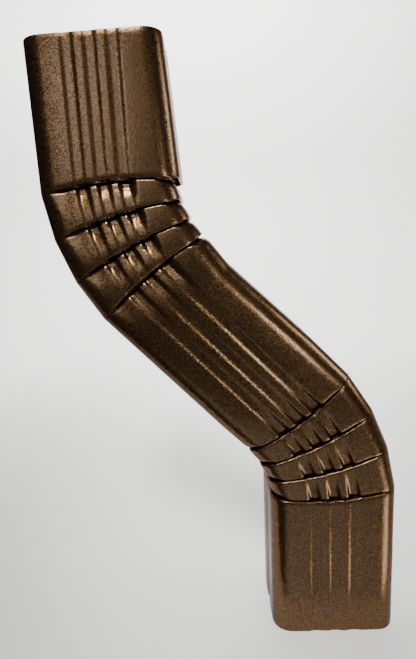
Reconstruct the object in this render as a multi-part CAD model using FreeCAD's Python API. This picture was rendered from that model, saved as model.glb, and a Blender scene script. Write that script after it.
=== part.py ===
import FreeCAD, Part
import math
import os

# Offset downspout elbow: one corrugated sheet tube with two pleated bends, millimetres and degrees

NODE = "downspout_elbow"
FLAT_WITHIN = 1e-6
DOWN_ANGLE = -90.0

# Driving sizes: alias, value, what it measures
SIZES = (
    ("tube_width", 82.6, "outside width of the tube, in the plane of the bends"),
    ("tube_depth", 60.4, "outside depth of the tube, front to back"),
    ("corner_radius", 10.5, "outside radius of the four long corners"),
    ("sheet_gauge", 0.6, "thickness of the coated sheet"),
    ("inlet_length", 85.0, "upper straight end, mouth to first fold, on the heel side"),
    ("outlet_length", 106.0, "lower straight end, last fold to mouth, on the heel side"),
    ("run_length", 139.5, "slanting run between the two bends"),
    ("fold_count", 4, "folds in each bend"),
    ("bend_per_fold", 10.8, "angle that each fold turns the tube"),
    ("fold_pitch", 28.5, "spacing of the folds along the heel"),
    ("lip_tilt", 3.2, "tilt of the first lip against a square cut"),
    ("lip_tilt_step", 11.2, "further tilt of each next lip"),
    ("fold_bow", 3.0, "how far the line of a fold bows towards its straight end, across a face"),
    ("fold_depth", 7.0, "how far the sheet is tucked under a lip at the throat"),
    ("fold_root", 0.3, "how far it is tucked under at the heel, where the fold dies out"),
    ("neck_inset", 2.4, "how far the neck of a band lies inside its lip"),
    ("shoulder_drop", 2.0, "distance of the neck's shoulder from the lip before it"),
    ("inlet_taper", 2.0, "how much narrower than the tube the upper mouth is, at the throat side"),
    ("inlet_flare", 3.3, "how much wider the lip of the upper straight end is"),
    ("outlet_taper", -1.9, "the same for the lower mouth, which is wider than the tube"),
    ("outlet_flare", 1.2, "how much wider the lip of the lower straight end is"),
    ("run_taper", 2.6, "how much narrower the run is where it leaves the upper bend"),
    ("heel_share", 0.1, "share of the insets that is left at the heel"),
    ("groove_count", 3, "grooves in the front face, and in the back face"),
    ("groove_pitch", 13.4, "spacing of these grooves"),
    ("groove_offset", -2.6, "middle groove from the middle of the face"),
    ("groove_width", 9.0, "width of a groove at the face"),
    ("groove_slope", 35.0, "slope of the groove walls against the face"),
    ("groove_depth", 0.9, "depth of the grooves in the straight runs"),
    ("lip_groove_depth", 0.3, "depth of the grooves where a lip flattens them"),
    ("neck_groove_depth", 2.2, "depth of the grooves in the necks"),
    ("side_groove_width", 9.0, "width of the groove in each narrow side"),
    ("side_groove_depth", 0.9, "depth of the groove in each narrow side"),
    ("fade_length", 16.0, "length over which grooves and insets fade into a straight run"),
)

doc = FreeCAD.newDocument("Elbow")
sheet = doc.addObject("Spreadsheet::Sheet", "Sizes")
for row, (alias, value, note) in enumerate(SIZES, start=1):
    sheet.set(f"A{row}", note)
    sheet.set(f"B{row}", str(value))
    sheet.setAlias(f"B{row}", alias)
doc.recompute()


class Sizes:
    """The sheet's values, read by their alias."""

    def __getattr__(self, alias):
        return float(sheet.get(alias))


size = Sizes()
folds = round(size.fold_count)
grooves = round(size.groove_count)


class Section:
    """One closed outline of the tube: a plane through the heel, its width, insets and groove depths.

    An outline of a fold, unlike a plain one, is bowed out of its plane across the two faces.
    """

    def __init__(self, heel, tilt, widen, inset=0.0, groove=None, side_groove=None, lean=0.0):
        self.heel = heel
        self.tilt = tilt
        self.width = size.tube_width + widen
        self.inset = inset
        self.lean = lean
        self.groove = size.groove_depth if groove is None else groove
        self.side_groove = size.side_groove_depth if side_groove is None else side_groove
        self.turned = False
        self.plain = inset == 0.0 and groove is None

    def bow_at(self, x):
        """How far a point of the outline is moved out of the plane, towards the straight end."""
        if self.plain:
            return 0.0
        share = (x - size.corner_radius / 2) / (self.width - size.corner_radius)
        height = size.fold_bow * math.sin(math.pi * min(max(share, 0.0), 1.0))
        return -height if self.turned else height

    def turn_about(self, centre):
        """The same outline half a turn round, as in the lower bend, with its heel on the right."""
        self.heel = (2 * centre[0] - self.heel[0], 2 * centre[1] - self.heel[1])
        self.turned = True
        return self


def along(point, angle, distance):
    """The point at a distance from another, in the plane of the bends, at an angle to the X axis."""
    turn = math.radians(angle)
    return (point[0] + distance * math.cos(turn), point[1] + distance * math.sin(turn))


def grooved_side(ends, centres, width, depth, wall, inset_at):
    """Corner points of a side with grooves in it: position along the side and depth into the tube."""
    slope = math.radians(size.groove_slope)
    top = width / 2 + wall * math.tan(slope / 2)
    floor = top - depth / math.tan(slope)
    points = [ends[0]]
    for centre in centres:
        for edge, drop in ((-top, 0.0), (-floor, depth), (floor, depth), (top, 0.0)):
            points.append((centre + edge, inset_at(centre + edge) + drop))
    points.append(ends[1])
    return points


def outline(section, wall):
    """Closed wire of a section; wall is 0 for the sheet's outer face and its gauge for the inner face."""
    width = section.width
    depth = size.tube_depth
    radius = size.corner_radius
    heel_inset = section.inset * size.heel_share + wall
    throat_inset = section.inset + section.lean + wall

    def face_inset(x):
        """The lean grows with the distance from the heel."""
        from_heel = width - x if section.turned else x
        return section.inset + section.lean * from_heel / width + wall

    near, far = (throat_inset, heel_inset) if section.turned else (heel_inset, throat_inset)
    heel_shift = width - size.tube_width if section.turned else 0.0
    first = size.tube_width / 2 + heel_shift + size.groove_offset - size.groove_pitch * (grooves - 1) / 2
    centres = [first + size.groove_pitch * number for number in range(grooves)]
    face = grooved_side(((radius, near), (width - radius, far)), centres, size.groove_width,
                        section.groove, wall, face_inset)

    def narrow_side(inset):
        end = depth / 2 - radius
        return grooved_side(((-end, inset), (end, inset)), [0.0], size.side_groove_width,
                            section.side_groove, wall, lambda y: inset)

    left = narrow_side(near)
    right = narrow_side(far)
    half = depth / 2
    front = [(x, -half + inset) for x, inset in face]
    throat = [(width - inset, y) for y, inset in right]
    back = [(x, half - inset) for x, inset in reversed(face)]
    heel = [(inset, y) for y, inset in reversed(left)]

    origin = section.heel
    if section.turned:
        origin = along(section.heel, section.tilt, -width)

    def place(point):
        flat = along(origin, section.tilt, point[0])
        x, z = along(flat, section.tilt - DOWN_ANGLE, section.bow_at(point[0]))
        return FreeCAD.Vector(x, point[1], z)

    edges = []
    sides = (front, throat, back, heel)
    bow = math.sqrt(0.5)
    for number, side in enumerate(sides):
        for start, end in zip(side, side[1:]):
            edges.append(Part.LineSegment(place(start), place(end)).toShape())
        start = side[-1]
        end = sides[(number + 1) % len(sides)][0]
        pivot = (start[0], end[1]) if number % 2 == 0 else (end[0], start[1])
        middle = tuple(pivot[i] + bow * (start[i] - pivot[i]) + bow * (end[i] - pivot[i]) for i in range(2))
        edges.append(Part.Arc(place(start), place(middle), place(end)).toShape())
    return Part.Wire(edges)


def folded_bend(stub_length, taper, flare, run_taper, inner):
    """Sections of one bend from its mouth to the run, about the heel of its first fold."""
    level = size.sheet_gauge if inner else 0.0
    flat = size.lip_groove_depth
    deep = size.neck_groove_depth
    hem = 2 * size.sheet_gauge
    tuck_angle = math.degrees(math.atan2(size.fold_depth - size.fold_root, size.tube_width))
    throat_pitch = size.fold_pitch - size.tube_width * math.tan(math.radians(size.bend_per_fold))
    tuck = (size.fold_depth + level) / (throat_pitch - size.shoulder_drop)

    def stub_widen(height):
        """The straight end widens evenly from its mouth to its lip."""
        return flare - (flare + taper) * height / stub_length

    plain_end = size.fold_depth + size.fade_length
    sections = [Section((0.0, stub_length), 0.0, -taper)]
    sections.append(Section((0.0, plain_end), 0.0, stub_widen(plain_end)))
    heel = (0.0, 0.0)
    for fold in range(folds):
        tilt = size.lip_tilt + size.lip_tilt_step * fold
        towards = DOWN_ANGLE + size.bend_per_fold * fold
        widen = flare if fold == 0 else 0.0
        top_widen = stub_widen(size.fold_depth + level) if fold == 0 else 0.0
        lean = 0.0 if fold == 0 else size.neck_inset * tuck
        top = along(heel, towards, -level - size.fold_root)
        shoulder = along(heel, towards + size.bend_per_fold, size.shoulder_drop)
        if inner:
            sections.append(Section(top, tilt + tuck_angle, top_widen, 0.0, deep, flat, lean))
        else:
            sections.append(Section(heel, tilt, widen, 0.0, flat, flat))
            sections.append(Section(heel, tilt, widen, hem, flat, flat))
        sections.append(Section(top, tilt + tuck_angle, top_widen, hem, deep, flat, lean))
        sections.append(Section(shoulder, tilt, 0.0, size.neck_inset, deep, flat))
        heel = along(heel, towards + size.bend_per_fold, size.fold_pitch)
    heel = along(heel, DOWN_ANGLE + size.bend_per_fold * folds, size.fade_length - size.fold_pitch)
    sections.append(Section(heel, size.bend_per_fold * folds, -run_taper))
    return sections


def last_heel():
    """Heel of the last fold of a bend, from the heel of its first fold."""
    heel = (0.0, 0.0)
    for fold in range(1, folds):
        heel = along(heel, DOWN_ANGLE + size.bend_per_fold * fold, size.fold_pitch)
    return heel


def tube_sections(inner):
    """All sections from the upper mouth to the lower mouth; the two bends are alike, half a turn apart."""
    tilt = size.bend_per_fold * folds
    run_top = last_heel()
    run_bottom = along(along(run_top, tilt, size.tube_width), tilt + DOWN_ANGLE, size.run_length)
    centre = tuple((run_top[i] + run_bottom[i]) / 2 for i in range(2))
    upper = folded_bend(size.inlet_length, size.inlet_taper, size.inlet_flare, size.run_taper, inner)
    lower = folded_bend(size.outlet_length, size.outlet_taper, size.outlet_flare, 0.0, inner)
    sections = upper + [section.turn_about(centre) for section in reversed(lower)]
    mouth_centre = sections[0].width / 2
    for section in sections:
        section.heel = (section.heel[0] - mouth_centre, section.heel[1] - size.inlet_length)
    return sections


def ring_object(name, section, wall):
    """The outline of a section as an object of the document."""
    ring = doc.addObject("Part::Feature", name)
    ring.Shape = outline(section, wall)
    return ring


def straight(name, rings):
    """Straight stretch of the tube between two equal outlines."""
    loft = doc.addObject("Part::Loft", name)
    loft.Sections = rings
    loft.Solid = False
    loft.Ruled = True
    return loft


def flat_ring(name, rings):
    """Flat rim of a mouth, between the outlines of the sheet's two faces."""
    ring = doc.addObject("Part::Face", name)
    ring.Sources = rings
    ring.FaceMakerClass = "Part::FaceMakerBullseye"
    return ring


def pleat(name, rings):
    """Pleated stretch between two outlines: flat facets, and ruled surfaces round the corners."""
    faces = []
    for first, second in zip(rings[0].Shape.Edges, rings[1].Shape.Edges):
        if first.Curve.TypeId != "Part::GeomLine":
            faces.append(Part.makeRuledSurface(first, second))
            continue
        start, end = (vertex.Point for vertex in first.Vertexes)
        next_start, next_end = (vertex.Point for vertex in second.Vertexes)
        normal = (end - start).cross(next_start - start)
        off_plane = abs(normal.normalize().dot(next_end - start))
        facets = [(start, end, next_end, next_start)]
        if off_plane > FLAT_WITHIN:
            facets = [(start, end, next_end), (start, next_end, next_start)]
        faces += [Part.Face(Part.makePolygon(facet + facet[:1])) for facet in facets]
    stretch = doc.addObject("Part::Feature", name)
    stretch.Shape = Part.makeShell(faces)
    return stretch


def face_of_sheet(name, inner):
    """All stretches of the outer or the inner face of the sheet, with the outlines of its two mouths."""
    wall = size.sheet_gauge if inner else 0.0
    sections = tube_sections(inner)
    rings = []
    for number, section in enumerate(sections):
        rings.append(ring_object(f"{name}_section_{number}", section, wall))
    stretches = []
    for number in range(len(rings) - 1):
        here, after = sections[number:number + 2]
        pair = rings[number:number + 2]
        if here.plain and after.plain:
            stretches.append(straight(f"{name}_straight_{number}", pair))
        else:
            stretches.append(pleat(f"{name}_pleat_{number}", pair))
    return stretches, rings[0], rings[-1]


outer_face, outer_inlet, outer_outlet = face_of_sheet("outer", False)
inner_face, inner_inlet, inner_outlet = face_of_sheet("inner", True)
inlet_rim = flat_ring("inlet_rim", [outer_inlet, inner_inlet])
outlet_rim = flat_ring("outlet_rim", [outer_outlet, inner_outlet])
doc.recompute()

# The two faces of the sheet and the two rims close up into the folded sheet
surfaces = outer_face + inner_face + [inlet_rim, outlet_rim]
shell = Part.makeShell([face for item in surfaces for face in item.Shape.Faces])
shell.sewShape()
elbow = doc.addObject("Part::Feature", "elbow")
elbow.Label = NODE
elbow.Shape = Part.makeSolid(shell)
doc.recompute()

# Nothing is written unless every object came out sound
for item in doc.Objects:
    if "Invalid" in item.State or "Error" in item.State:
        raise RuntimeError(f"{item.Label} did not build: {item.State}")
for item in surfaces + [elbow]:
    if item.Shape.isNull() or not item.Shape.isValid():
        raise RuntimeError(f"{item.Label} has no valid shape")
if len(elbow.Shape.Solids) != 1 or not elbow.Shape.Shells[0].isClosed():
    raise RuntimeError("the elbow is not one closed piece")

os.makedirs("parts", exist_ok=True)
elbow.Shape.exportStep(f"parts/{elbow.Label}.step")
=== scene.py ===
import math
from collections import namedtuple

import bpy
import numpy as np
from bpy.props import FloatProperty, FloatVectorProperty, IntProperty, PointerProperty, StringProperty
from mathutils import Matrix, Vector


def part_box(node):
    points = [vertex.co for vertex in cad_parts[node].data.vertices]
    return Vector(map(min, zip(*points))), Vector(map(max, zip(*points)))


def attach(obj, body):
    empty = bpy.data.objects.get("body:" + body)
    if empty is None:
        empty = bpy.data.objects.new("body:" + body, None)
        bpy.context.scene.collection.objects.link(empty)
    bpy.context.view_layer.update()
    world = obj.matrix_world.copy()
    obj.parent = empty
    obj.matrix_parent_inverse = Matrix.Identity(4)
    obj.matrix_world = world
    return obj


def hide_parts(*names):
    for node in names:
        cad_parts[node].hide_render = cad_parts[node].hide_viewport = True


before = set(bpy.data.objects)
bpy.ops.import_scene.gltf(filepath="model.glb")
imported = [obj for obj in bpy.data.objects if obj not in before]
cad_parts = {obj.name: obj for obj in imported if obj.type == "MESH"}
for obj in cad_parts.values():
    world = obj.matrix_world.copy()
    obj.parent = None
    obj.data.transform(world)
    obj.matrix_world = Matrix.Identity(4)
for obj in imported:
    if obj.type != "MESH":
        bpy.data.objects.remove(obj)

bl_info = {
    "name": "Downspout elbow",
    "version": (1, 0, 0),
    "blender": (4, 5, 0),
    "location": "View3D > Sidebar > Elbow",
    "description": "Pleated downspout elbow of powder-coated sheet, with its studio stage",
    "category": "Object",
}

NODE = "downspout_elbow"
BODY = "root"
LOW, HIGH = (Vector(corner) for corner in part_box(NODE))

# Points once round the tube: along a wide face, along a narrow side and round a corner
FACE_POINTS, SIDE_POINTS, CORNER_POINTS = 72, 18, 8
# Rings along the sheet: from the mouth to the end of the level part, on to the first lip, down a band,
# from the last fold into the run, and down the run itself
LEVEL_RINGS, LIP_RINGS, BAND_RINGS, FADE_RINGS = 10, 14, 16, 18
RUN_RINGS, QUICK_RUN_RINGS, INNER_RUN_RINGS = 14, 6, 3
# Steps round the edge of a lip, over a shoulder, round the sheet's cut edge and up the sweep of the paper
EDGE_STEPS, SHOULDER_STEPS, RIM_STEPS, SWEEP_STEPS = 5, 7, 4, 24
# Where the rings lie up inside a lip, round the top of the fold (in degrees) and down along the neck
UP_PARTS, TOP_TURNS, DOWN_PARTS = (0.35, 0.7, 1.0), (60.0, 120.0, 180.0), (0.3, 0.6, 0.85, 1.0)
# The neck keeps clear of the folded layer over this first part of its way down
NECK_FROM = 0.2
# How much of the change in groove depth from lip to neck happens up inside the lip
TUCKED = 0.4
# How early the form changes: towards the first lip, and from the last fold into the run
LIP_EASE, RUN_EASE = 0.8, 2.2

# The slow clouds in the coat: the part of the noise that counts, and how far the roughness moves with it
CLOUD_LOW, CLOUD_HIGH, CLOUD_ROUGHNESS = 0.3, 0.7, 0.03
PAPER_ROUGHNESS = 0.9

# Soft boxes: degrees to the right of the front, degrees up, width and height in metres, degrees of spread
SOFT_BOXES = {
    "key": (-17.0, 20.5, (0.2, 0.37), 70.0),
    "fill": (28.0, 3.0, (0.2, 0.26), 70.0),
    "side": (96.0, 18.0, (0.3, 0.5), 70.0),
    "top": (-10.0, 52.0, (0.22, 0.6), 28.0),
    "foot": (4.0, -42.0, (0.8, 0.5), 70.0),
    "low_side": (58.0, -40.0, (0.35, 0.45), 70.0),
}
# The wash hangs behind the object and looks at the foot of the wall
WASH_AT, WASH_AIM, WASH_SIZE, WASH_SPREAD = (0.05, 0.50, 0.95), (0.05, 1.1, 0.15), (1.6, 0.3), 125.0
# The camera sees what lies beyond this distance, in metres
NEAREST = 0.01


def length(name, description, default):
    """A size in metres."""
    return FloatProperty(name=name, description=description, default=default, unit="LENGTH",
                         subtype="DISTANCE", precision=5)


def angle(name, description, degrees):
    """An angle, given here in degrees."""
    return FloatProperty(name=name, description=description, default=math.radians(degrees),
                         unit="ROTATION", subtype="ANGLE")


def share(name, description, default):
    """A plain number."""
    return FloatProperty(name=name, description=description, default=default, precision=4)


def colour(name, description, default):
    """An sRGB colour in hexadecimal."""
    return StringProperty(name=name, description=description, default=default)


class ElbowTube(bpy.types.PropertyGroup):
    """The tube and its two bends."""

    width: length("Width", "Outside width, in the plane of the bends", 0.0826)
    depth: length("Depth", "Outside depth, front to back", 0.0604)
    corner: length("Corner radius", "Outside radius of the long corners", 0.012)
    crown: angle("Crown", "How far the rounded lands have turned where the corners begin", 2.0)
    gauge: length("Gauge", "Thickness of the coated sheet", 0.0006)
    inlet: length("Inlet length", "Upper straight end, on the heel side", 0.085)
    outlet: length("Outlet length", "Lower straight end, on the heel side", 0.106)
    run: length("Run length", "Slanting run between the bends", 0.1395)
    inlet_mouth: length("Inlet mouth", "Extra width of the upper mouth", -0.002)
    inlet_lip: length("Inlet lip", "Extra width of the upper end's lip", 0.0033)
    outlet_mouth: length("Outlet mouth", "Extra width of the lower mouth", 0.0019)
    outlet_lip: length("Outlet lip", "Extra width of the lower end's lip", 0.0012)
    run_top: length("Top of the run", "Extra width where the run leaves the upper bend", -0.0026)
    folds: IntProperty(name="Folds", description="Folds in each bend", default=4)
    bend: angle("Bend per fold", "Angle that each fold turns the tube", 10.8)
    pitch: length("Fold pitch", "Spacing of the folds along the heel", 0.0285)
    lip_tilt: angle("Lip tilt", "Tilt of the first lip", 3.2)
    lip_tilt_step: angle("Lip tilt step", "Further tilt of each next lip", 11.2)


class ElbowFolds(bpy.types.PropertyGroup):
    """How the sheet goes in and out of each fold, and its grooves."""

    tuck: length("Tuck", "Depth of the folded layer under a lip, at the throat", 0.007)
    root: length("Root", "Depth of the folded layer at the heel", 0.0003)
    gap: length("Gap", "Gap between the folded layers", 0.0005)
    lip: length("Lip radius", "Radius of the rounded edge of a lip", 0.0009)
    least: length("Least layer", "Thickness that is left of a fold where it has died out", 0.00002)
    lean: length("Lean", "How far the top of a fold leans inwards at the throat", 0.001)
    die_from: length("Dies out from", "Distance from the heel where a fold begins", 0.0045)
    die_to: length("Dies out to", "Distance from the heel where a fold has its full form", 0.0185)
    bow: length("Bow", "How far the line of a fold bows towards its straight end", 0.003)
    mouth_land: length("Mouth on the land", "Opening under a lip on the plain land at the throat", 0.0004)
    mouth_grooves: length("Mouth at the grooves", "Further opening as far as the last groove", 0.0004)
    mouth_throat: length("Mouth at the throat", "Further opening round the throat corner", 0.0006)
    lower_mouth: length("Lower mouth", "Opening at the lower grooves; below 0 it ends in the lip", -0.0004)
    roll_land: length("Shoulder on the land", "Length of the rounded shoulder on the plain land", 0.0012)
    roll_grooves: length("Shoulder at the grooves", "Further length as far as the last groove", 0.0034)
    roll_throat: length("Shoulder at the throat", "Further length round the throat corner", 0.0045)
    neck: length("Neck inset", "Inset of the neck inside the fold", 0.0022)
    neck_grooves: length("Neck inset at the grooves", "Further inset as far as the last groove", 0.0022)
    neck_throat: length("Neck inset at the throat", "Further inset round the throat corner", 0.0010)
    shoulder: length("Shoulder inset", "Inset of the shoulder below a lip", 0.0006)
    shoulder_grooves: length("Shoulder inset at grooves", "Further inset as far as the last groove", 0.0012)
    shoulder_throat: length("Shoulder inset at the throat", "Less inset round the throat corner", -0.0004)
    flare: share("Flare", "How early a band of the upper bend takes its full width below a shoulder", 2.4)
    lower_flare: share("Lower flare", "The same for the lower bend", 1.4)
    fade: length("Fade", "Length over which a bend fades into a straight run", 0.034)
    groove_pitch: length("Groove pitch", "Spacing of the three grooves in a face", 0.0129)
    groove_shift: length("Groove shift", "Middle groove from the middle of the face", -0.0010)
    groove_width: length("Groove width", "Width of a groove at mid depth", 0.0066)
    groove_wall: length("Groove wall", "Width of a groove's sloping wall", 0.0026)
    groove_depth: length("Groove depth", "Depth of the grooves in the straight runs", 0.00052)
    groove_lip: length("Groove depth at a lip", "Depth where a lip flattens the grooves", 0.0003)
    groove_neck: length("Groove depth at a neck", "Depth of the grooves in the necks", 0.0018)
    side_groove: length("Side groove depth", "Depth of the groove in each narrow side", 0.0009)
    side_width: length("Side groove width", "Width of that groove at mid depth", 0.0066)


class ElbowFinish(bpy.types.PropertyGroup):
    """The powder coat."""

    dark: colour("Coat between the flakes", "Brown of the powder between the flakes", "#211611")
    light: colour("Flakes", "Bronze of the flakes", "#7E5F3E")
    edge: colour("Flakes seen from the side", "What the flakes give back at a grazing look", "#8A7052")
    flake: length("Flake", "Size of the flakes, coarser than real ones so that they show", 0.0004)
    tilt: share("Flake tilt", "How far the flakes lie askew", 0.06)
    hammer: length("Hammer", "Size of the fine hammered grain of the skin", 0.0012)
    hammer_height: length("Hammer height", "Height of that grain", 0.00005)
    cloud: length("Cloud", "Size of the slow changes in the coat", 0.035)
    metallic: share("Metallic", "How metallic the flaked coat is", 0.96)
    roughness: share("Roughness", "Roughness of the layer of flakes", 0.29)
    skin: share("Clear skin", "Share of the clear skin that lies over the flakes", 0.3)
    skin_roughness: share("Skin roughness", "Roughness of the clear skin", 0.15)


class ElbowStage(bpy.types.PropertyGroup):
    """Camera, lights and floor."""

    camera_at: FloatVectorProperty(name="Camera", description="Where the camera stands", size=3,
                                   unit="LENGTH", subtype="XYZ", default=(0.0579, -0.3038, -0.1137))
    heading: angle("Heading", "Camera turned to the left", 1.86)
    pitch: angle("Pitch", "Camera tilted up; below 0 it looks down", -11.13)
    roll: angle("Roll", "Camera rolled", 3.45)
    lens: share("Lens", "Focal length in millimetres", 24.72)
    shift_x: share("Shift across", "Sideways shift of the picture", 0.0288)
    shift_y: share("Shift up", "Upward shift of the picture", -0.0092)
    floor: colour("Floor", "Pale floor and backdrop", "#F4F4F2")
    paper_front: length("Paper in front", "How far the paper reaches to the front", 0.055)
    paper_left: length("Paper to the left", "How far the paper reaches to the left", 0.66)
    paper_right: length("Paper to the right", "How far the paper reaches to the right", 1.4)
    paper_height: length("Paper height", "How high the paper goes up behind the object", 1.6)
    sweep: length("Sweep", "Radius of the bend from floor to wall", 0.5)
    wall: length("Wall", "Distance of the wall behind the object", 1.2)
    world: share("World", "Strength of the even light all round", 0.06)
    away: length("Lamps", "Distance of the soft boxes from the middle of the object", 1.0)
    key: share("Key", "Tall soft box in front, a little to the left, in watts", 0.135)
    fill: share("Fill", "Low soft box at the front right, in watts", 0.38)
    side: share("Side", "Soft box on the right, in watts", 0.6)
    top: share("Top", "Soft box above, in watts", 0.9)
    foot: share("Foot", "Low soft box in front of the paper, which the lower end mirrors, in watts", 0.16)
    low_side: share("Low side", "Low soft box at the right, in front of the paper, in watts", 0.5)
    wash: share("Wash", "Light on the paper, in watts", 36.0)


def smooth(low, high, value):
    """0 below low, 1 above high, and an even ease between them."""
    t = np.clip((value - low) / (high - low), 0.0, 1.0)
    return t * t * (3.0 - 2.0 * t)


def heading_of(turn):
    """Direction in the plane of the bends at an angle to the X axis."""
    return np.array((math.cos(turn), math.sin(turn)))


class Outline:
    """Points once round the plain tube, and the way that its face looks at each of them."""

    def __init__(self, tube, low, high):
        """Between low and high, where the grooves lie, the wide faces are flat."""
        few = 1.0
        counts = (FACE_POINTS, SIDE_POINTS, CORNER_POINTS)
        self.face, self.narrow, self.arc = (max(2, round(count * few)) for count in counts)
        self.half, self.radius, self.steep = tube.depth / 2, tube.corner, math.tan(tube.crown)
        near_x, far_x = tube.corner, tube.width - tube.corner
        self.low, self.high = low, high
        self.first = near_x - tube.corner * math.sin(tube.crown)
        self.last = far_x + tube.corner * math.sin(tube.crown)
        near_y, far_y = (self.half - self.land(x)[0] - tube.corner * math.cos(tube.crown)
                         for x in (self.first, self.last))
        self.points, self.normals = [], []
        right = math.pi / 2
        self.wide(self.first, self.last, -1.0)
        self.turn(far_x, -far_y, tube.crown - right, 0.0)
        self.side(tube.width, -far_y, far_y, 1.0)
        self.turn(far_x, far_y, 0.0, right - tube.crown)
        self.wide(self.last, self.first, 1.0)
        self.turn(near_x, near_y, right + tube.crown, 2 * right)
        self.side(0.0, near_y, -near_y, -1.0)
        self.turn(near_x, -near_y, 2 * right, 3 * right - tube.crown)

    def land(self, x):
        """Fall and slope of a wide face: flat at the grooves, gently rounded towards the corners."""
        near, far = self.low - self.first, self.last - self.high
        near_part, far_part = max(self.low - x, 0.0) / near, max(x - self.high, 0.0) / far
        fall = self.steep / 2 * (near * near_part ** 2 + far * far_part ** 2)
        return fall, self.steep * (far_part - near_part)

    def wide(self, start, end, way):
        """Points along a wide face."""
        for x in np.linspace(start, end, self.face, endpoint=False):
            fall, slope = self.land(x)
            self.points.append((x, way * (self.half - fall)))
            self.normals.append(np.array((slope, way)) / math.hypot(slope, 1.0))

    def turn(self, x, y, start, end):
        """Points round a long corner."""
        for a in np.linspace(start, end, self.arc, endpoint=False):
            self.points.append((x + self.radius * math.cos(a), y + self.radius * math.sin(a)))
            self.normals.append((math.cos(a), math.sin(a)))

    def side(self, x, start, end, way):
        """Points along a narrow side."""
        for y in np.linspace(start, end, self.narrow, endpoint=False):
            self.points.append((x, y))
            self.normals.append((way, 0.0))


class Ring:
    """The outline with its grooves, and the form of a fold round it, measured from one of the two heels."""

    def __init__(self, tube, folds, turned):
        middle = tube.width / 2 + folds.groove_shift
        reach = folds.groove_pitch + (folds.groove_width + folds.groove_wall) / 2
        outline = Outline(tube, middle - reach, middle + reach)
        x, self.y = np.array(outline.points).T
        across, self.ny = np.array(outline.normals).T
        wall = folds.groove_wall / 2
        self.groove = np.zeros_like(x)
        for number in (-1, 0, 1):
            off = np.abs(x - middle - number * folds.groove_pitch) - folds.groove_width / 2
            self.groove += smooth(wall, -wall, off)
        self.side = smooth(wall, -wall, np.abs(self.y) - folds.side_width / 2)

        # From here on s is the distance from the heel of the bend, towards its throat
        self.s = tube.width - x if turned else x
        self.ns = -across if turned else across
        far_groove = (tube.width - middle if turned else middle) + reach
        far_corner = tube.width - tube.corner
        # zone is 1 as far as the last groove, and throat is 1 round the throat corner;
        # share is how much of the extra width each point gets
        self.zone = smooth(far_groove + folds.groove_wall, far_groove - wall, self.s)
        self.throat = smooth(far_corner, tube.width - tube.corner / 3, self.s)
        self.share = np.clip((self.s - far_groove) / (far_corner - far_groove), 0.0, 1.0)
        across_face = np.clip((self.s - tube.corner / 2) / far_corner, 0.0, 1.0)
        self.bow = folds.bow * np.sin(math.pi * across_face)
        died = 1.0 - np.clip((self.s - folds.die_from) / (folds.die_to - folds.die_from), 0.0, 1.0)
        self.strength = 1.0 - died * died
        self.tuck = folds.root + (folds.tuck - folds.root) * self.s / tube.width
        if turned:
            mouth = (0.0, folds.lower_mouth)
            deeper, flared, self.flare = 0.0, 0.0, folds.lower_flare
        else:
            mouth = (folds.mouth_land, folds.mouth_grooves)
            deeper, flared, self.flare = folds.neck_grooves, folds.shoulder_grooves, folds.flare
        self.mouth = self.sized(*mouth, folds.mouth_throat)
        self.roll = self.sized(folds.roll_land, folds.roll_grooves, folds.roll_throat)
        self.neck = self.sized(folds.neck, deeper, folds.neck_throat)
        self.shoulder = self.sized(folds.shoulder, flared, folds.shoulder_throat)

    def sized(self, on_land, at_grooves, at_throat):
        """A size on the plain land, with what is added at the grooves and the throat; none at the heel."""
        return self.strength * (on_land + at_grooves * self.zone + at_throat * self.throat)


# State of the sheet along one ring, and the sizes of one straight end
Sheet = namedtuple("Sheet", "base tilt inset groove side widen")
End = namedtuple("End", "length mouth lip run")


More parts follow.
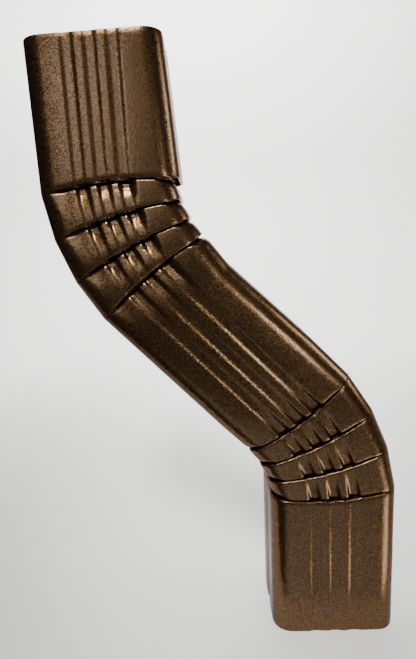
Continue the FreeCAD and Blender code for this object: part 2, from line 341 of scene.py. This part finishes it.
class Bend:
    """One bend of the sheet, from its mouth to the run, worked out from the heel of its first fold."""

    def __init__(self, tube, folds, ring, end):
        self.tube, self.folds, self.ring, self.end = tube, folds, ring, end
        drop = -math.pi / 2
        self.planes = [(np.array((0.0, end.length)), 0.0)]
        heel = np.zeros(2)
        for number in range(tube.folds):
            self.planes.append((heel, tube.lip_tilt + tube.lip_tilt_step * number))
            heel = heel + tube.pitch * heading_of(drop + tube.bend * (number + 1))
        turn = tube.bend * tube.folds
        self.last = self.planes[-1][0]
        self.planes.append((self.last + folds.fade * heading_of(drop + turn), turn))
        self.hem = folds.lip * ring.strength + folds.least
        self.gap = folds.gap * ring.strength + folds.least
        self.lean = ring.strength * folds.lean * ring.s / tube.width
        self.half_deep = folds.groove_lip + (folds.groove_neck - folds.groove_lip) * TUCKED
        self.rings = []

    def base(self, plane):
        """The plain outline in the plane of a mouth, a fold or the start of the run."""
        heel, tilt = self.planes[plane]
        flat = heel + self.ring.s[:, None] * heading_of(tilt)
        if plane in (0, self.tube.folds + 1):
            return flat
        return flat + self.ring.bow[:, None] * heading_of(tilt + math.pi / 2)

    def near(self, plane, offset):
        """The plain outline at a distance before (-) or after (+) a fold."""
        here = self.base(plane)
        before = self.base(plane - 1) - here
        after = self.base(plane + 1) - here
        before /= np.linalg.norm(before, axis=1)[:, None]
        after /= np.linalg.norm(after, axis=1)[:, None]
        return here - np.minimum(offset, 0.0)[:, None] * before + np.maximum(offset, 0.0)[:, None] * after

    def add(self, sheet):
        """One ring: the plain outline, widened, and moved inwards by the inset and the grooves."""
        ring = self.ring
        depth = sheet.inset + sheet.groove * ring.groove + sheet.side * ring.side
        out = sheet.widen * ring.share - depth * ring.ns
        flat = sheet.base + out[:, None] * heading_of(sheet.tilt)
        self.rings.append(np.column_stack((flat[:, 0], ring.y - depth * ring.ny, flat[:, 1])))

    def stretch(self, start, end, steps, ease=1.0):
        """Rings between two states of the sheet; with an ease over 1 the form changes early."""
        for step in range(1, steps):
            part = step / steps
            form = 1.0 - (1.0 - part) ** ease
            parts = Sheet(part, part, form, form, form, part)
            self.add(Sheet(*(a + (b - a) * v for a, b, v in zip(start, end, parts))))

    def mouth(self, inset):
        """The plain sheet at the open end."""
        folds = self.folds
        return Sheet(self.base(0), 0.0, inset, folds.groove_depth, folds.side_groove, self.end.mouth)

    def level(self, inset):
        """The plain sheet of the straight end, before the first lip flattens it."""
        folds = self.folds
        back = folds.tuck + folds.fade
        part = 1.0 - back / self.end.length
        widen = self.end.mouth + (self.end.lip - self.end.mouth) * part
        return Sheet(self.near(1, np.full_like(self.ring.s, -back)), 0.0, inset, folds.groove_depth,
                     folds.side_groove, widen)

    def run(self, inset):
        """The plain sheet of the slanting run, after the last fold has faded out."""
        folds, last = self.folds, self.tube.folds + 1
        return Sheet(self.base(last), self.planes[last][1], inset, folds.groove_depth, folds.side_groove,
                     self.end.run)

    def widened(self, number):
        """Extra width of a lip: only the first, at the straight end, has one."""
        return self.end.lip if number == 1 else 0.0

    def leaning(self, number):
        """How far the top of a fold leans inwards: only the first stands upright."""
        return 0.0 if number == 1 else self.lean

    def lip_edge(self, number, a):
        """The rounded edge of a lip, where the sheet turns back under itself, from angle 0 to pi."""
        flat = self.folds.groove_lip
        return Sheet(self.near(number, -self.hem * (1.0 - math.sin(a))), self.planes[number][1],
                     self.hem * (1.0 - math.cos(a)), flat, flat, self.widened(number))

    def fold(self, number):
        """One fold, from the edge of its lip to the shoulder below it, whose state it returns."""
        ring, hem, gap = self.ring, self.hem, self.gap
        flat, half_deep, neck_deep = self.folds.groove_lip, self.half_deep, self.folds.groove_neck
        tilt, widen = self.planes[number][1], self.widened(number)
        for step in range(EDGE_STEPS + 1):
            self.add(self.lip_edge(number, math.pi * step / EDGE_STEPS))
        # Up inside the lip, round the top of the fold and down again along the neck
        tucked = 2.0 * hem
        top = tucked + self.leaning(number)
        for part in UP_PARTS:
            self.add(Sheet(self.near(number, -hem - (ring.tuck - hem) * part), tilt,
                           tucked + (top - tucked) * part, flat + (half_deep - flat) * part, flat, widen))
        for degrees in TOP_TURNS:
            a = math.radians(degrees)
            self.add(Sheet(self.near(number, -ring.tuck - gap / 2 * math.sin(a)), tilt,
                           top + gap / 2 * (1.0 - math.cos(a)), half_deep, flat, widen))
        neck_top = top + gap
        neck = np.maximum(ring.neck, neck_top)
        for part in DOWN_PARTS:
            self.add(Sheet(self.near(number, -ring.tuck + (ring.tuck + ring.mouth) * part), tilt,
                           neck_top + (neck - neck_top) * smooth(NECK_FROM, 1.0, part),
                           half_deep + (neck_deep - half_deep) * part, flat, widen * (1.0 - part)))
        # The shoulder rolls out from the neck into the next band
        for step in range(1, SHOULDER_STEPS + 1):
            a = 0.5 * math.pi * step / SHOULDER_STEPS
            shoulder = Sheet(self.near(number, ring.mouth + ring.roll * (1.0 - math.cos(a))), tilt,
                             neck + (ring.shoulder - neck) * math.sin(a), neck_deep, flat, 0.0)
            self.add(shoulder)
        return shoulder

    def outside(self):
        """Outer face of the sheet, with every fold."""
        few = 1
        zero = np.zeros_like(self.ring.s)
        mouth, level, run = self.mouth(zero), self.level(zero), self.run(zero)
        self.rings = []
        self.add(mouth)
        self.stretch(mouth, level, LEVEL_RINGS // few)
        self.add(level)
        above, steps, ease = level, LIP_RINGS, LIP_EASE
        for number in range(1, self.tube.folds + 1):
            self.stretch(above, self.lip_edge(number, 0.0), steps // few, ease)
            above, steps, ease = self.fold(number), BAND_RINGS, self.ring.flare
        self.stretch(above, run, FADE_RINGS // few, RUN_EASE)
        self.add(run)
        return self.rings

    def inside(self):
        """Inner face of the sheet, which shows only through the mouths."""
        ring, folds, half_deep = self.ring, self.folds, self.half_deep
        flat, neck_deep = folds.groove_lip, folds.groove_neck
        gauge = np.full_like(ring.s, self.tube.gauge)
        over = ring.tuck + 2.0 * gauge
        self.rings = []
        self.add(self.mouth(gauge))
        self.add(self.level(gauge))
        for number in range(1, self.tube.folds + 1):
            tilt, widen = self.planes[number][1], self.widened(number)
            top = (2.0 * folds.lip + folds.gap) * ring.strength + self.leaning(number)
            neck = np.maximum(ring.neck, top) + gauge
            self.add(Sheet(self.near(number, -over - gauge), tilt, gauge, half_deep, flat, widen))
            self.add(Sheet(self.near(number, -over), tilt, gauge + top / 2, half_deep, flat, widen))
            self.add(Sheet(self.near(number, gauge - over), tilt, gauge + top, half_deep, flat, widen))
            self.add(Sheet(self.near(number, ring.mouth + gauge), tilt, neck, neck_deep, flat, 0.0))
            self.add(Sheet(self.near(number, ring.mouth + ring.roll), tilt, ring.shoulder + gauge,
                           neck_deep, flat, 0.0))
        self.add(self.run(gauge))
        return self.rings


def sheet_grid(tube, folds):
    """Every ring of the sheet: down its outer face, round the lower rim, up inside and round the top."""
    shift = np.array((-(tube.width + tube.inlet_mouth) / 2, 0.0, -tube.inlet))
    inlet = End(tube.inlet, tube.inlet_mouth, tube.inlet_lip, tube.run_top)
    outlet = End(tube.outlet, tube.outlet_mouth, tube.outlet_lip, 0.0)
    upper = Bend(tube, folds, Ring(tube, folds, False), inlet)
    lower = Bend(tube, folds, Ring(tube, folds, True), outlet)
    tilt = tube.bend * tube.folds
    bottom = upper.last + tube.width * heading_of(tilt) + tube.run * heading_of(tilt - math.pi / 2)
    centre = np.array((upper.last[0] + bottom[0], 0.0, upper.last[1] + bottom[1]))

    def turned(points):
        """Points of the lower bend, turned half round about the middle of the run."""
        return centre - points * (1.0, -1.0, 1.0)

    def whole(first, second, steps):
        """One face of the sheet from mouth to mouth, with the run between the bends."""
        second = [turned(points) for points in reversed(second)]
        middle = [first[-1] + (second[0] - first[-1]) * step / steps for step in range(1, steps)]
        return [points + shift for points in first + middle + second]

    steps = RUN_RINGS
    outer = whole(upper.outside(), lower.outside(), steps)
    inner = whole(upper.inside(), lower.inside(), INNER_RUN_RINGS)

    def rim(from_ring, to_ring, way):
        """Half-round edge of the cut sheet; way is +1 for an edge that looks up."""
        edge = []
        for step in range(1, RIM_STEPS):
            a = math.pi * step / RIM_STEPS
            ring = (from_ring + to_ring) / 2 + (from_ring - to_ring) / 2 * math.cos(a)
            ring[:, 2] += way * tube.gauge / 2 * math.sin(a)
            edge.append(ring)
        return edge

    for rings in (outer, inner):
        rings[0][:, 2] -= tube.gauge / 2
        rings[-1][:, 2] += tube.gauge / 2
    return np.array(outer + rim(outer[-1], inner[-1], -1.0) + inner[::-1] + rim(inner[0], outer[0], 1.0))


def mesh_object(name, grid):
    """A mesh whose grid of points closes up in both directions."""
    rows, columns = grid.shape[:2]
    number = np.arange(rows * columns).reshape(rows, columns)
    below = np.roll(number, -1, axis=0)
    faces = np.stack((number, below, np.roll(below, -1, axis=1), np.roll(number, -1, axis=1)), axis=-1)
    mesh = bpy.data.meshes.new(name)
    mesh.from_pydata(grid.reshape(-1, 3).tolist(), [], faces.reshape(-1, 4).tolist())
    mesh.polygons.foreach_set("use_smooth", np.ones(rows * columns, dtype=bool))
    mesh.update()
    piece = bpy.data.objects.new(name, mesh)
    bpy.context.scene.collection.objects.link(piece)
    return piece


def linear(code):
    """Linear colour of an sRGB hexadecimal code."""
    values = [int(code[i:i + 2], 16) / 255 for i in (1, 3, 5)]
    return [v / 12.92 if v <= 0.04045 else ((v + 0.055) / 1.055) ** 2.4 for v in values] + [1.0]


def node(tree, kind, inputs=None, **settings):
    """Adds a node; an input is a value or the output socket of another node."""
    made = tree.nodes.new(kind)
    for name, value in settings.items():
        setattr(made, name, value)
    for name, value in (inputs or {}).items():
        socket = made.inputs[name]
        if isinstance(value, bpy.types.NodeSocket):
            tree.links.new(value, socket)
        else:
            socket.default_value = value
    return made


def new_material(name):
    """An empty material and its node tree."""
    material = bpy.data.materials.new(name)
    material.use_nodes = True
    material.node_tree.nodes.clear()
    return material, material.node_tree


def powder_coat(finish):
    """Baked bronze powder coat: flakes that lie askew and glint, under a clear, finely hammered skin."""
    material, tree = new_material("bronze_powder_coat_sprayed_and_baked")
    place = node(tree, "ShaderNodeTexCoord").outputs["Object"]
    flakes = node(tree, "ShaderNodeTexVoronoi", {"Vector": place, "Scale": 1.0 / finish.flake})
    hammer = node(tree, "ShaderNodeTexNoise", {"Vector": place, "Scale": 1.0 / finish.hammer,
                                               "Detail": 1.0})
    cloud = node(tree, "ShaderNodeTexNoise", {"Vector": place, "Scale": 1.0 / finish.cloud, "Detail": 3.0})
    shade = node(tree, "ShaderNodeSeparateColor", {"Color": flakes.outputs["Color"]})
    coat = node(tree, "ShaderNodeMix", {"Factor": shade.outputs["Red"], "A": linear(finish.dark),
                                        "B": linear(finish.light)}, data_type="RGBA")
    rough = node(tree, "ShaderNodeMapRange", {"Value": cloud.outputs["Fac"],
                                              "From Min": CLOUD_LOW, "From Max": CLOUD_HIGH,
                                              "To Min": finish.roughness - CLOUD_ROUGHNESS,
                                              "To Max": finish.roughness + CLOUD_ROUGHNESS})
    bump = node(tree, "ShaderNodeBump", {"Height": hammer.outputs["Fac"], "Strength": 1.0,
                                         "Distance": finish.hammer_height})
    # Each flake leans its own way, up to the tilt
    lean = node(tree, "ShaderNodeVectorMath", {0: flakes.outputs["Color"], 1: (0.5, 0.5, 0.5)},
                operation="SUBTRACT")
    lying = node(tree, "ShaderNodeVectorMath", {0: lean.outputs["Vector"], 1: (2.0 * finish.tilt,) * 3,
                                                2: bump.outputs["Normal"]}, operation="MULTIPLY_ADD")
    askew = node(tree, "ShaderNodeVectorMath", {0: lying.outputs["Vector"]}, operation="NORMALIZE")
    shader = node(tree, "ShaderNodeBsdfPrincipled", {"Base Color": coat.outputs["Result"],
                                                     "Metallic": finish.metallic,
                                                     "Specular Tint": linear(finish.edge),
                                                     "Roughness": rough.outputs["Result"],
                                                     "Normal": askew.outputs["Vector"],
                                                     "Coat Weight": finish.skin,
                                                     "Coat Roughness": finish.skin_roughness,
                                                     "Coat Normal": bump.outputs["Normal"]})
    node(tree, "ShaderNodeOutputMaterial", {"Surface": shader.outputs["BSDF"]})
    return material


def matt(name, code):
    """Plain matt paper or paint, which gives the eye nothing but its tone."""
    material, tree = new_material(name)
    shader = node(tree, "ShaderNodeBsdfPrincipled", {"Base Color": linear(code),
                                                     "Roughness": PAPER_ROUGHNESS})
    node(tree, "ShaderNodeOutputMaterial", {"Surface": shader.outputs["BSDF"]})
    return material


def backdrop(stage, level):
    """Roll of pale paper: a floor that sweeps up into a wall behind the object.

    It ends just in front of the object, so that the lower end mirrors the low soft boxes and shows its
    grooves.
    """
    bow, wall = stage.sweep, stage.wall
    line = [(-stage.paper_front, level)]
    for step in range(SWEEP_STEPS + 1):
        a = 0.5 * math.pi * step / SWEEP_STEPS
        line.append((wall - bow + bow * math.sin(a), level + bow - bow * math.cos(a)))
    line.append((wall, level + stage.paper_height))
    points = [(x, y, z) for y, z in line for x in (-stage.paper_left, stage.paper_right)]
    faces = [(i, i + 1, i + 3, i + 2) for i in range(0, len(points) - 2, 2)]
    mesh = bpy.data.meshes.new("floor")
    mesh.from_pydata(points, [], faces)
    mesh.polygons.foreach_set("use_smooth", [True] * len(faces))
    mesh.materials.append(matt("pale_matt_paper_rolled_out", stage.floor))
    floor = bpy.data.objects.new("floor", mesh)
    return floor


class OBJECT_OT_elbow_sheet(bpy.types.Operator):
    """Fold the powder-coated sheet of the elbow"""

    bl_idname = "object.elbow_sheet"
    bl_label = "Folded sheet"

    def execute(self, context):
        scene = context.scene
        grid = sheet_grid(scene.elbow_tube, scene.elbow_folds)
        if not np.isfinite(grid).all():
            raise RuntimeError("the folded sheet has points that are not numbers")
        piece = mesh_object("elbow_sheet", grid)
        piece.data.materials.append(powder_coat(scene.elbow_finish))
        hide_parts(NODE)
        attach(piece, BODY)
        return {"FINISHED"}


class OBJECT_OT_elbow_stage(bpy.types.Operator):
    """Set up the floor, the soft lights and the camera"""

    bl_idname = "object.elbow_stage"
    bl_label = "Studio stage"

    def lamp(self, scene, name, at, aim, size, power, spread):
        """A soft box that looks at a point; a grid keeps its light within the spread."""
        light = bpy.data.lights.new(name, "AREA")
        light.shape = "RECTANGLE"
        light.size, light.size_y = size
        light.energy = power
        light.spread = math.radians(spread)
        item = bpy.data.objects.new(name, light)
        item.location = at
        item.rotation_euler = (Vector(aim) - Vector(at)).to_track_quat("-Z", "Y").to_euler()
        scene.collection.objects.link(item)

    def soft_box(self, scene, name, turned, raised, size, spread):
        """A soft box round the object: turned to the right of the front and raised, in degrees."""
        middle = (LOW + HIGH) / 2
        power = getattr(scene.elbow_stage, name)
        turned, raised = math.radians(turned), math.radians(raised)
        level = math.cos(raised)
        way = Vector((level * math.sin(turned), -level * math.cos(turned), math.sin(raised)))
        self.lamp(scene, name, middle + scene.elbow_stage.away * way, middle, size, power, spread)

    def execute(self, context):
        scene = context.scene
        stage = scene.elbow_stage
        scene.collection.objects.link(backdrop(stage, LOW.z))

        world = bpy.data.worlds.new("studio")
        world.use_nodes = True
        even = world.node_tree.nodes["Background"]
        even.inputs["Color"].default_value = linear(stage.floor)
        even.inputs["Strength"].default_value = stage.world
        scene.world = world

        for name, box in SOFT_BOXES.items():
            self.soft_box(scene, name, *box)
        self.lamp(scene, "wash", WASH_AT, WASH_AIM, WASH_SIZE, stage.wash, WASH_SPREAD)

        data = bpy.data.cameras.new("camera")
        data.lens = stage.lens
        data.shift_x = stage.shift_x
        data.shift_y = stage.shift_y
        data.clip_start = NEAREST
        camera = bpy.data.objects.new("camera", data)
        camera.location = stage.camera_at
        camera.rotation_euler = (math.pi / 2 + stage.pitch, stage.roll, stage.heading)
        scene.collection.objects.link(camera)
        scene.camera = camera
        return {"FINISHED"}


class VIEW3D_PT_elbow(bpy.types.Panel):
    """The elbow and its stage"""

    bl_idname = "VIEW3D_PT_elbow"
    bl_label = "Downspout elbow"
    bl_space_type = "VIEW_3D"
    bl_region_type = "UI"
    bl_category = "Elbow"

    def draw(self, context):
        for step in STEPS:
            self.layout.operator(step.bl_idname)


GROUPS = {
    "elbow_tube": ElbowTube,
    "elbow_folds": ElbowFolds,
    "elbow_finish": ElbowFinish,
    "elbow_stage": ElbowStage,
}
STEPS = (OBJECT_OT_elbow_sheet, OBJECT_OT_elbow_stage)


def register():
    for kind in (*GROUPS.values(), *STEPS, VIEW3D_PT_elbow):
        bpy.utils.register_class(kind)
    for name, kind in GROUPS.items():
        setattr(bpy.types.Scene, name, PointerProperty(type=kind))


def unregister():
    for name in GROUPS:
        delattr(bpy.types.Scene, name)
    for kind in (VIEW3D_PT_elbow, *reversed(STEPS), *reversed(list(GROUPS.values()))):
        bpy.utils.unregister_class(kind)


def main():
    register()
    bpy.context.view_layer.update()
    bpy.ops.object.elbow_sheet()
    bpy.ops.object.elbow_stage()


if __name__ == "__main__":
    main()
